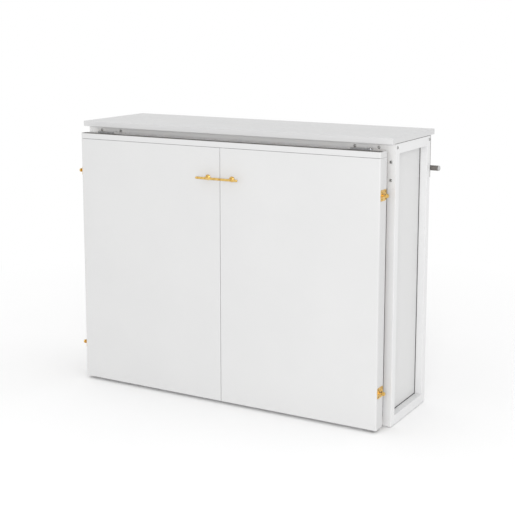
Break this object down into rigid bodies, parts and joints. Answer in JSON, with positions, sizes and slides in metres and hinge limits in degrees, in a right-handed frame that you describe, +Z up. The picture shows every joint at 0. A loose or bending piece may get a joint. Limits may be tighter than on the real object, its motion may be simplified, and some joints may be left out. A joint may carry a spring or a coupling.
{
  "type": "murphy wall bed",
  "caption": "Horizontal wall bed folded away in a low white cabinet: drop-down front with gold handle and side latches, sprung pivots, slats, mattress, swing feet and wall rail.",
  "frame": {"origin": "on the floor, at the centre of the footprint's bounding box", "axes": "+X to the right seen from the front, +Y back towards the wall, +Z up"},
  "size_m": [2.142, 0.736, 1.615],
  "materials": {
    "white_top": "satin white lacquer on board",
    "white_post": "satin white lacquer on timber",
    "white_panel": "matt white foil on thin board",
    "white_bracket": "white powder coat",
    "screw_steel": "zinc-plated, slightly dull",
    "glide": "matt grey plastic",
    "dark_tube": "dark grey powder coat",
    "pale_cap": "pale grey plastic",
    "pivot_steel": "brushed, lightly oiled",
    "spring_steel": "black oxide",
    "white_door": "satin white lacquer on board",
    "slat_wood": "planed pine, clear oil",
    "mattress_cloth": "quilted woven ticking",
    "webbing": "woven webbing",
    "gold": "satin gold, brushed along its length",
    "gold_screw": "aged brass",
    "bush_bronze": "sintered bronze",
    "dark_felt": "pressed wool felt, dark grey",
    "pale_rubber": "matt pale grey rubber",
    "black_rubber": "matt black rubber"
  },
  "bodies": {
    "cabinet": {"top_panel": "white_top", "post_front_left": "white_post", "post_front_right": "white_post", "post_rear_left": "white_post", "post_rear_right": "white_post", "side_rail_top_left": "white_post", "side_rail_top_right": "white_post", "side_rail_bottom_left": "white_post", "side_rail_bottom_right": "white_post", "front_rail_top": "white_post", "front_rail_bottom": "white_post", "rear_rail_top": "white_post", "rear_rail_bottom": "white_post", "side_panel_left": "white_panel", "side_panel_right": "white_panel", "back_panel": "white_panel", "corner_bracket_front_left": "white_bracket", "corner_bracket_front_right": "white_bracket", "corner_bracket_rear_left": "dark_tube", "corner_bracket_rear_right": "dark_tube", "frame_screws": "screw_steel", "floor_glides": "glide", "top_felt": "dark_felt", "panel_seals": "black_rubber", "wall_rail": "dark_tube", "wall_rail_caps": "pale_cap", "rail_clamps": "dark_tube", "wall_plates": "dark_tube", "pivot_bracket_left": "pivot_steel", "pivot_bracket_right": "pivot_steel", "pivot_pins": "pivot_steel", "torsion_springs": "spring_steel", "latch_keepers": "pivot_steel"},
    "bed": {"door_panel_left": "white_door", "door_panel_right": "white_door", "shell_top_board": "white_door", "dust_seal": "dark_felt", "shell_bottom_board": "white_door", "shell_side_left": "white_door", "shell_side_right": "white_door", "shell_ribs": "white_door", "slats": "slat_wood", "slat_screws": "screw_steel", "mattress": "mattress_cloth", "mattress_straps": "webbing", "handle_bar": "gold", "handle_posts": "gold", "handle_screws": "screw_steel", "pivot_bushes": "bush_bronze", "latch_barrels": "gold", "latch_screws": "gold_screw", "foot_studs": "screw_steel"},
    "bolt_upper_left": {"latch_bolt_upper_left": "gold"},
    "bolt_upper_right": {"latch_bolt_upper_right": "gold"},
    "bolt_lower_left": {"latch_bolt_lower_left": "gold"},
    "bolt_lower_right": {"latch_bolt_lower_right": "gold"},
    "swing_foot_left": {"foot_left": "pivot_steel", "foot_pad_left": "pale_rubber"},
    "swing_foot_right": {"foot_right": "pivot_steel", "foot_pad_right": "pale_rubber"}
  },
  "joints": [
    {"name": "bed_fold", "type": "hinge", "parent": "cabinet", "child": "bed", "pos_m": [0, -0.287, 0.09], "axis": [1, 0, 0], "range_deg": [0, 90]},
    {"name": "bolt_upper_left_slide", "type": "slide", "parent": "bed", "child": "bolt_upper_left", "axis": [0, 1, 0], "range_m": [0, 0.03]},
    {"name": "bolt_upper_right_slide", "type": "slide", "parent": "bed", "child": "bolt_upper_right", "axis": [0, 1, 0], "range_m": [0, 0.03]},
    {"name": "bolt_lower_left_slide", "type": "slide", "parent": "bed", "child": "bolt_lower_left", "axis": [0, 1, 0], "range_m": [0, 0.03]},
    {"name": "bolt_lower_right_slide", "type": "slide", "parent": "bed", "child": "bolt_lower_right", "axis": [0, 1, 0], "range_m": [0, 0.03]},
    {"name": "foot_left_swing", "type": "hinge", "parent": "bed", "child": "swing_foot_left", "pos_m": [-0.9, -0.251, 1.55], "axis": [0, 0, -1], "range_deg": [0, 90]},
    {"name": "foot_right_swing", "type": "hinge", "parent": "bed", "child": "swing_foot_right", "pos_m": [0.9, -0.251, 1.55], "axis": [0, 0, 1], "range_deg": [0, 90]}
  ]
}
